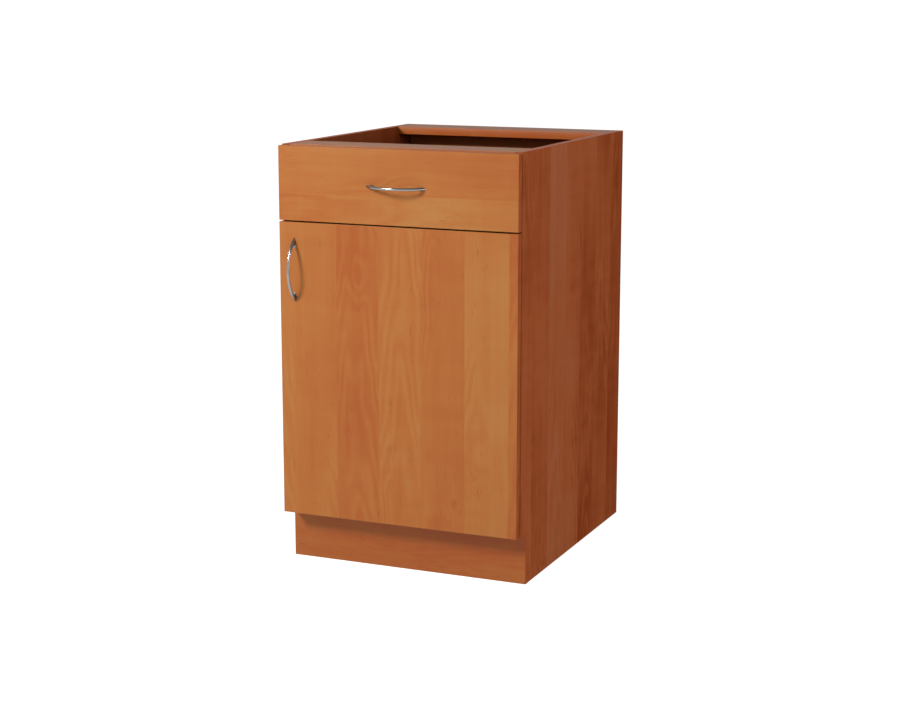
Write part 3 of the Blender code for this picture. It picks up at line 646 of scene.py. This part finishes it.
def cams_under(node, along_y, inset=CAM_INSET):
    """Places for cam fittings on a board's underside, near both ends."""
    low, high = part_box(node)
    places = [(x, y, low[2]) for x in (low[0] + inset, high[0] - inset) for y in along_y(low[1], high[1])]
    CAMS.extend((place, "Z", 1, body_of(node)) for place in places)
    return [cylinder_grid((x, y, z - OVERCUT), "Z", CAM_RADIUS, CAM_DEPTH + OVERCUT) for x, y, z in places]


# Outline sides of a lying board, in turn: front, right, back, left.
LYING_EDGES = [BAND_LAMINATE, CHIPBOARD, CHIPBOARD, CHIPBOARD]
board("front_top_rail", RAIL_LAMINATE, "Z", LYING_EDGES,
      tools=cams_under("front_top_rail", lambda near, far: [near + 0.030]))
board("back_top_rail", RAIL_LAMINATE, "Z", LYING_EDGES,
      tools=cams_under("back_top_rail", lambda near, far: [far - 0.030]))
board("bottom_panel", RAIL_LAMINATE, "Z", LYING_EDGES,
      tools=cams_under("bottom_panel", lambda near, far: [near + 0.060, far - 0.060]))
board("shelf", RAIL_LAMINATE, "Z", LYING_EDGES)
# Outline sides of a board that faces the front: bottom, right, top, left.
board("plinth_board", PLINTH_LAMINATE, "Y", [CHIPBOARD, SIDE_LAMINATE, PLINTH_LAMINATE, SIDE_LAMINATE])
print("cam fittings so far:", len(CAMS))

# %% Drawer and door boards
EDGED_FRONT = [DRAWER_LAMINATE, SIDE_LAMINATE, DRAWER_LAMINATE, SIDE_LAMINATE]
board("drawer_front", DRAWER_LAMINATE, "Y", EDGED_FRONT)
CUP_RADIUS = 0.0178
CUP_DEPTH = 0.0128
CUP_CENTRE_INSET = 0.0007 + 0.0175


def cup_bores():
    """The two round pockets that the hinge cups sit in, from the door's back face."""
    bores = []
    for node in ("upper_hinge_cup", "lower_hinge_cup"):
        low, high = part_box(node)
        level = (low[2] + high[2]) / 2
        centre_x = high[0] - CUP_CENTRE_INSET
        back_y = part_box("door_panel")[1][1]
        bores.append(cylinder_grid((centre_x, back_y + OVERCUT, level), "Y", CUP_RADIUS,
                                   -CUP_DEPTH - OVERCUT))
    return bores


board("door_panel", DOOR_LAMINATE, "Y", EDGED_FRONT, tools=cup_bores())
for node, side in (("drawer_left_side", -1), ("drawer_right_side", 1)):
    low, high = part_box(node)
    inner_x = high[0] if side < 0 else low[0]
    place = (inner_x, low[1] + CAM_INSET, (low[2] + high[2]) / 2)
    CAMS.append((place, "X", side, "drawer"))
    tool = cylinder_grid((inner_x - side * OVERCUT, *place[1:]), "X", CAM_RADIUS,
                         side * (CAM_DEPTH + OVERCUT))
    # Outline sides of an upright board seen from its face: bottom, back, top, front.
    board(node, DEPTH_LAMINATE, "X", [CHIPBOARD, CHIPBOARD, DEPTH_LAMINATE, CHIPBOARD], tools=[tool])
board("drawer_back", DRAWER_LAMINATE, "Y", [CHIPBOARD, CHIPBOARD, DRAWER_LAMINATE, CHIPBOARD])

# %% Thin boards
THIN_ARRIS = 0.00025
for node, normal in (("back_panel", "Y"), ("drawer_bottom", "Z")):
    thin = board(node, FIBREBOARD, normal, [FIBREBOARD] * 4, arris=THIN_ARRIS)

# %% [markdown]
# ## Bow handles
#
# Each handle is a thin bow that swells into a flat foot at both ends. Its outer line is an
# arc through both feet. The inner line lies inside it by a thickness that grows sharply
# near the ends, where it also leans over to meet the face. An oval drawn between the two
# lines, carried from foot to foot, is the whole handle.

# %% The bow
BOW_LENGTH = 0.125
BOW_REACH = 0.029
BOW_THICKNESS = 0.0042
BOW_WIDTH = 0.0055
BOW_FOOT = 0.0200


def bow_grid(middle, along, across, rings=161, around=40):
    """Ovals along a bow: centre halfway between outer and inner line, one half axis across the gap."""
    outward = np.array((0.0, -1.0, 0.0))
    half = BOW_LENGTH / 2
    radius = (half * half + BOW_REACH * BOW_REACH) / (2 * BOW_REACH)
    sweep = math.asin(half / radius)
    share = np.linspace(-1, 1, rings)[:, None]
    end = np.abs(share)
    angle = sweep * share
    outer = np.hstack([radius * np.sin(angle), radius * np.cos(angle) - radius + BOW_REACH])
    thickness = BOW_THICKNESS + (BOW_FOOT - BOW_THICKNESS) * end**8
    lean = angle + np.sign(angle) * (np.pi / 2 - sweep) * end**5
    inner = outer - thickness * np.hstack([np.sin(lean), np.cos(lean)])
    centre = (outer + inner) / 2
    spoke = (outer - inner) / 2
    turn = np.linspace(0, 2 * np.pi, around, endpoint=False)
    lengthwise = centre[:, :1] + spoke[:, :1] * np.cos(turn)
    standing = centre[:, 1:] + spoke[:, 1:] * np.cos(turn)
    sideways = BOW_WIDTH / 2 * (1 + 0.3 * end**4) * np.sin(turn)
    return (middle + lengthwise[..., None] * along + standing[..., None] * outward
            + sideways[..., None] * across)


for node, along, across, body in (
    ("drawer_handle", (1, 0, 0), (0, 0, 1), "drawer"),
    ("door_handle", (0, 0, 1), (1, 0, 0), "door"),
):
    low, high = (np.array(corner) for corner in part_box(node))
    middle = (low + high) / 2
    middle[1] = high[1]
    handle = skin(f"{node}_bow", bow_grid(middle, np.array(along), np.array(across)), [CHROME])
    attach(handle, body)
    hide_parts(node)
    print(node, "stands", round(1000 * (high[1] - low[1]), 1), "mm proud")

# %% [markdown]
# ## Screws, cams and other turned parts
#
# A turned part is a profile of distance along an axis and radius, carried round the axis.
# A screw's cross recess is pressed in: wherever a point of the head lies inside the cross,
# it moves down the axis. A row of such points near the middle is enough to draw it.

# %% Turned surfaces
# The two directions that a circle is drawn in, and the axis itself, for each axis.
SPOKES = {"X": ((0, 1, 0), (0, 0, 1), (1, 0, 0)), "Y": ((0, 0, 1), (1, 0, 0), (0, 1, 0)),
          "Z": ((1, 0, 0), (0, 1, 0), (0, 0, 1))}


def turned_grid(centre, axis, direction, profile, around=48, recess=None):
    """Circles of each radius in the profile; inside a cross recess a point sinks along the axis.

    recess is the cross's reach, half its arm's width, and its depth.
    """
    along, radius = np.array(profile).T
    turn = np.linspace(0, 2 * np.pi, around, endpoint=False)
    first = radius[:, None] * np.cos(turn)
    second = radius[:, None] * np.sin(turn)
    depth = np.repeat(along[:, None], around, axis=1)
    if recess:
        reach, arm, sink = recess
        near, far = np.sort(np.abs([first, second]), axis=0)
        inside = np.clip(1.5 - near / arm, 0, 1) * np.clip((reach - far) / (0.25 * reach) + 1, 0, 1)
        depth = depth + sink * inside * (radius[:, None] <= 1.3 * reach)
    spokes = np.array(SPOKES[axis], dtype=float)
    return (np.array(centre, dtype=float) + first[..., None] * spokes[0] + second[..., None] * spokes[1]
            + direction * depth[..., None] * spokes[2])


SCREW_TIP = 0.001
SCREW_RECESS = (0.0021, 0.00045, 0.0011)


def pan_head(radius, height, shank, length):
    """A flattened dome of 16 circles, the flat under it, and a shank with a blunt tip."""
    rise = np.linspace(0.02, np.pi / 2, 16)
    dome = [(-height * math.cos(t) ** 0.8, radius * math.sin(t)) for t in rise[:-1]]
    return [*dome, (0.0, radius), (0.0, shank), (length, shank * 0.9), (length + SCREW_TIP, shank * 0.3)]


def screw(node, axis, direction, head_radius=0.0038, head_height=0.0016, shank=0.0016):
    """A pan-head screw in the box of a CAD screw; its shank runs along direction times axis."""
    low, high = (np.array(corner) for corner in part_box(node))
    centre = (low + high) / 2
    k = AXIS[axis]
    full = high[k] - low[k]
    centre[k] = (low[k] if direction > 0 else high[k]) + direction * head_height
    profile = pan_head(head_radius, head_height, shank, full - head_height - SCREW_TIP)
    grid = turned_grid(centre, axis, direction, profile, 48, SCREW_RECESS)
    piece = skin(f"{node}_turned", grid, [ZINC])
    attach(piece, body_of(node))
    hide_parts(node)


for node in frame["nodes"]:
    if "handle_screw" in node:
        screw(node, "Y", -1)
    elif "cup_screw" in node:
        screw(node, "Y", -1, head_height=0.0012)
    elif "plate_screw" in node or "arm_screw" in node:
        screw(node, "X", 1)

# %% Cam fittings
CAM_PROFILE = [(0.0004, 0.0001), (0.0004, 0.0012), (0.0004, 0.0024), (0.0004, 0.0036), (0.0002, 0.0050),
               (-0.0002, 0.0058), (-0.0003, 0.0070), (0.0000, CAM_RADIUS - 0.0001),
               (0.0100, CAM_RADIUS - 0.0001)]
CAM_RECESS = (0.0032, 0.0006, 0.0025)


def finely(profile, parts=8):
    """The same profile with each of its lengths in equal parts, so that a recess can be drawn."""
    corners = np.array(profile)
    share = np.linspace(0, 1, parts, endpoint=False)[:, None]
    points = corners[:-1, None] + (corners[1:] - corners[:-1])[:, None] * share
    return np.vstack([points.reshape(-1, 2), corners[-1:]])


for number, (place, axis, direction, body) in enumerate(CAMS, 1):
    grid = turned_grid(place, axis, direction, finely(CAM_PROFILE), 64, CAM_RECESS)
    cam = skin(f"cam_fitting_{number}", grid, [ZINC])
    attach(cam, body)
print("cam fittings:", len(CAMS))

# %% [markdown]
# ## Runners and rollers
#
# A roller runner is a pair of folded steel strips. The cabinet's strip is a channel, the
# drawer's is a Z. Each is a bent line with a round in every fold, thickened to both sides
# and drawn along the cabinet. Each strip carries one nylon roller on a short axle.

# %% Folded strips
SHEET = 0.0012
FOLD = 0.0014


def folded_loop(corners, sheet=SHEET, fold=FOLD, steps=6):
    """The closed outline of a bent strip: the bent line moved half a sheet to each side.

    Each corner is cut back by the fold radius (the folds are square) and joined by an arc.
    """
    corners = np.array(corners, dtype=float)
    before = corners[1:-1] - corners[:-2]
    after = corners[2:] - corners[1:-1]
    before /= np.linalg.norm(before, axis=1)[:, None]
    after /= np.linalg.norm(after, axis=1)[:, None]
    turn = np.linspace(0, np.pi / 2, steps)[None, :, None]
    centre = corners[1:-1] - fold * before + fold * after
    arcs = (centre[:, None] - fold * after[:, None] * np.cos(turn) + fold * before[:, None] * np.sin(turn))
    headings = before[:, None] * np.cos(turn) + after[:, None] * np.sin(turn)
    line = np.vstack([corners[:1], arcs.reshape(-1, 2), corners[-1:]])
    heading = np.vstack([before[:1], headings.reshape(-1, 2), after[-1:]])
    sideways = np.stack([-heading[:, 1], heading[:, 0]], axis=1) * sheet / 2
    return np.vstack([line + sideways, (line - sideways)[::-1]])


def strip_grid(loop, start, end):
    """A loop in x and z drawn from start to end along y."""
    grid = np.zeros((2, len(loop), 3))
    grid[:, :, [0, 2]] = loop
    grid[:, :, 1] = np.array([[start], [end]])
    return grid


CHANNEL_HEIGHT = 0.0280
half_sheet = SHEET / 2
for which, side in (("left", -1), ("right", 1)):
    low, high = (np.array(corner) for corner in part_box(f"{which}_cabinet_runner"))
    web, mouth = (high[0], low[0]) if side > 0 else (low[0], high[0])
    web_x = web - side * half_sheet
    mouth_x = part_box(f"{which}_cabinet_roller")[0][0] if side > 0 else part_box(f"{which}_cabinet_roller")[1][0]
    floor_z, top_z = low[2] + half_sheet, low[2] + CHANNEL_HEIGHT - half_sheet
    loop = folded_loop([(mouth_x, floor_z), (web_x, floor_z), (web_x, top_z), (mouth_x, top_z)])
    channel = skin(f"{which}_cabinet_runner_channel", strip_grid(loop, low[1], high[1]), [COAT])
    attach(channel, "carcass")
    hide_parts(f"{which}_cabinet_runner")

    low, high = (np.array(corner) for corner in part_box(f"{which}_drawer_runner"))
    ledge_x, lip_x = (low[0], high[0]) if side > 0 else (high[0], low[0])
    web_x = side * (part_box("drawer_right_side")[1][0] + FIT + half_sheet)
    ledge_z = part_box("drawer_bottom")[0][2] - FIT - half_sheet
    lip_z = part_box(f"{which}_cabinet_roller")[1][2] + FIT + half_sheet
    loop = folded_loop([(ledge_x, ledge_z), (web_x, ledge_z), (web_x, lip_z), (lip_x, lip_z)])
    strip = skin(f"{which}_drawer_runner_strip", strip_grid(loop, low[1], high[1]), [COAT])
    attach(strip, "drawer")
    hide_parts(f"{which}_drawer_runner")

# %% Rollers and axles
ROLLER_RADIUS = 0.009
ROLLER_WIDTH = 0.0075
RIM_ROUND = 0.0009
AXLE_RADIUS = 0.0025


def roller_profile():
    """A closed section: bore, hub, a shallow dish in each face, and a tread with rounded rims."""
    rim = np.linspace(0, np.pi / 2, 5)
    near = [(RIM_ROUND * (1 - math.sin(t)), ROLLER_RADIUS - RIM_ROUND * (1 - math.cos(t))) for t in rim][::-1]
    half = [(0.0, 0.0029), (0.0, 0.0043), (0.0008, 0.0047), (0.0008, 0.0070), (0.0, 0.0074), *near]
    other = [(ROLLER_WIDTH - along, radius) for along, radius in half[::-1]]
    return half + other


def roller(node, side):
    """A wheel that turns with its body, on an axle that stays on the runner which holds it."""
    low, high = (np.array(corner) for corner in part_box(node))
    centre = (low + high) / 2
    centre[0] = low[0]
    section = turned_grid(centre, "X", 1, roller_profile(), 64)
    wheel = skin(f"{node}_wheel", section, [NYLON], ring=True)
    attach(wheel, body_of(node))
    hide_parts(node)
    axle_body = "carcass" if "cabinet" in node else "drawer"
    head_x = low[0] - 0.0002 if side > 0 else high[0] + 0.0002
    if "drawer" in node:
        side = -side
        head_x = low[0] if side > 0 else high[0]
    profile = [(0.0002, 0.0002), (0.0, 0.0012), (0.0003, AXLE_RADIUS - 0.0002), (0.0007, AXLE_RADIUS),
               (ROLLER_WIDTH + 0.0012, AXLE_RADIUS)]
    axle = skin(f"{node}_axle", turned_grid((head_x, centre[1], centre[2]), "X", side, profile, 32), [ZINC])
    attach(axle, axle_body)


for which, side in (("left", -1), ("right", 1)):
    roller(f"{which}_cabinet_roller", side)
    roller(f"{which}_drawer_roller", side)

# %% Runner screws
RUNNER_SCREW_STEPS = (0.035, 0.230, 0.455)
RUNNER_SCREW_LEVEL = 0.0150
RUNNER_SCREW = pan_head(0.0034, 0.0011, 0.0015, 0.0008)
RUNNER_SCREW_RECESS = (0.0018, 0.0004, 0.0008)
for which, side in (("left", -1), ("right", 1)):
    low, high = (np.array(corner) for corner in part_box(f"{which}_cabinet_runner"))
    web_face = side * (abs(high[0] if side > 0 else low[0]) - SHEET)
    for number, step in enumerate(RUNNER_SCREW_STEPS, 1):
        centre = (web_face, low[1] + step, low[2] + RUNNER_SCREW_LEVEL)
        grid = turned_grid(centre, "X", side, RUNNER_SCREW, 40, RUNNER_SCREW_RECESS)
        head = skin(f"{which}_runner_screw_{number}", grid, [ZINC])
        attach(head, "carcass")

# %% [markdown]
# ## Shelf pins and bumpers
#
# The shelf rests on four plain steel pins. Four clear domes keep the drawer front and the
# door from knocking on the carcass edge.

# %% Pins and domes
for node in [name for name in frame["nodes"] if name.endswith("shelf_pin")]:
    low, high = (np.array(corner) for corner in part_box(node))
    centre = (low + high) / 2
    centre[0] = low[0]
    radius, length = (high[2] - low[2]) / 2, high[0] - low[0]
    profile = [(0.0, 0.0002), (0.0, radius - 0.0006), (0.0002, radius - 0.0002), (0.0006, radius),
               (length - 0.0006, radius), (length - 0.0002, radius - 0.0002), (length, radius - 0.0006),
               (length, 0.0002)]
    pin = skin(f"{node}_turned", turned_grid(centre, "X", 1, profile, 32), [ZINC])
    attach(pin, "carcass")
    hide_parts(node)

for node in [name for name in frame["nodes"] if name.endswith("_bumper")]:
    low, high = (np.array(corner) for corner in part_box(node))
    centre = (low + high) / 2
    centre[1] = low[1]
    radius, height = (high[2] - low[2]) / 2, high[1] - low[1]
    rise = np.linspace(0, np.pi / 2 - 0.05, 12)
    profile = [(0.0, radius * 0.4), (0.0, radius), *zip(height * np.sin(rise), radius * np.cos(rise) ** 0.7)]
    dome = skin(f"{node}_dome", turned_grid(centre, "Y", 1, profile, 40), [CLEAR])
    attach(dome, body_of(node))
    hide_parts(node)

# %% [markdown]
# ## Hinges
#
# The hinge parts are pressed steel, and their engineered shapes are right, so they stay.
# Their meshes are loose triangles, so a Weld joins them before a Bevel can round the edges.

# %% Rounded hinge parts
WELD_DISTANCE = 0.00001
EDGE_ROUND = 0.00018
ROUNDED_ANGLE = math.radians(50)
HINGE_NODES = [name for name in frame["nodes"] if name.split("_", 1)[-1] in
               ("hinge_cup", "hinge_arm", "mounting_plate", "hinge_pin")]
for name in HINGE_NODES:
    node = frame["nodes"][name]
    node.data.materials.clear()
    node.data.materials.append(ZINC)
    weld = node.modifiers.new("Weld", "WELD")
    weld.merge_threshold = WELD_DISTANCE
    bevel = node.modifiers.new("Bevel", "BEVEL")
    bevel.width = EDGE_ROUND
    bevel.segments = 2
    bevel.limit_method = "ANGLE"
    bevel.angle_limit = ROUNDED_ANGLE
print("hinge parts:", len(HINGE_NODES))

# %% [markdown]
# ## Floor, light and camera
#
# The studio is bright at eye level and dim overhead, so upright faces are lit evenly, the
# open top stays dark inside, and every top edge seen at a glancing angle carries a pale
# sheen. A soft box from the upper left lights the front, and a weak one from the right
# keeps the side from going flat. The floor gives off light of its own, so that it stays
# white all round, even in the cabinet's shadow.

# %% Floor
FLOOR_RADIUS = 40.0


def floor_finish():
    """Grey paint with a very faint mottling, and light of its own that lifts it to white."""
    finish = Finish("floor_paint", Roughness=0.9, Specular_IOR_Level=0.1, Emission_Strength=0.93)
    where, _ = finish.place()
    mottle = finish.noise(where, (3.0, 3.0, 3.0), detail=2.0)
    finish.feed("Base Color", finish.mix(mottle, (0.28, 0.28, 0.28, 1.0), (0.31, 0.31, 0.31, 1.0)))
    finish.shader.inputs["Emission Color"].default_value = (1.0, 1.0, 1.0, 1.0)
    return finish.material


floor = skin("studio_floor", cylinder_grid((0, 0, -0.02), "Z", FLOOR_RADIUS, 0.02, 96), [floor_finish()])

# %% Light
HORIZON = 1.0
ZENITH = 0.28
FADE_START = 0.05
FADE_END = 0.45
world = bpy.data.worlds.new("studio")
bpy.context.scene.world = world
world.use_nodes = True
tree = world.node_tree
background = tree.nodes["Background"]
direction = tree.nodes.new("ShaderNodeTexCoord")
height = tree.nodes.new("ShaderNodeSeparateXYZ")
fade = tree.nodes.new("ShaderNodeMapRange")
fade.inputs["From Min"].default_value = FADE_START
fade.inputs["From Max"].default_value = FADE_END
fade.inputs["To Min"].default_value = HORIZON
fade.inputs["To Max"].default_value = ZENITH
background.inputs["Color"].default_value = (1.0, 1.0, 1.0, 1.0)
tree.links.new(direction.outputs["Generated"], height.inputs[0])
tree.links.new(height.outputs["Z"], fade.inputs["Value"])
tree.links.new(fade.outputs["Result"], background.inputs["Strength"])

CABINET_MIDDLE = Vector((0.0, 0.0, 0.42))
print("sky strength from", HORIZON, "at eye level to", ZENITH, "overhead")


def soft_box(name, towards, distance, size, power):
    """A square area light that stands `distance` away in a direction and looks at the cabinet."""
    data = bpy.data.lights.new(name, "AREA")
    data.size = size
    data.energy = power
    light = bpy.data.objects.new(name, data)
    bpy.context.scene.collection.objects.link(light)
    light.location = CABINET_MIDDLE + distance * Vector(towards).normalized()
    light.rotation_euler = (CABINET_MIDDLE - light.location).to_track_quat("-Z", "Y").to_euler()


soft_box("key_box", (-0.47, -0.76, 0.53), 3.4, 0.7, 128.0)
soft_box("fill_box", (0.95, -0.28, 0.25), 2.4, 1.2, 13.0)

# %% Camera
camera_data = bpy.data.cameras.new("camera")
camera_data.lens = 74.96
camera_data.sensor_width = 36.0
camera = bpy.data.objects.new("camera", camera_data)
bpy.context.scene.collection.objects.link(camera)
camera.location = (1.4925, -3.4725, 1.1313)
camera.rotation_euler = (math.radians(78.883), 0.0, math.radians(23.421))
bpy.context.scene.camera = camera
bpy.context.scene.view_settings.view_transform = "Standard"

# %% The end
bpy.context.view_layer.update()
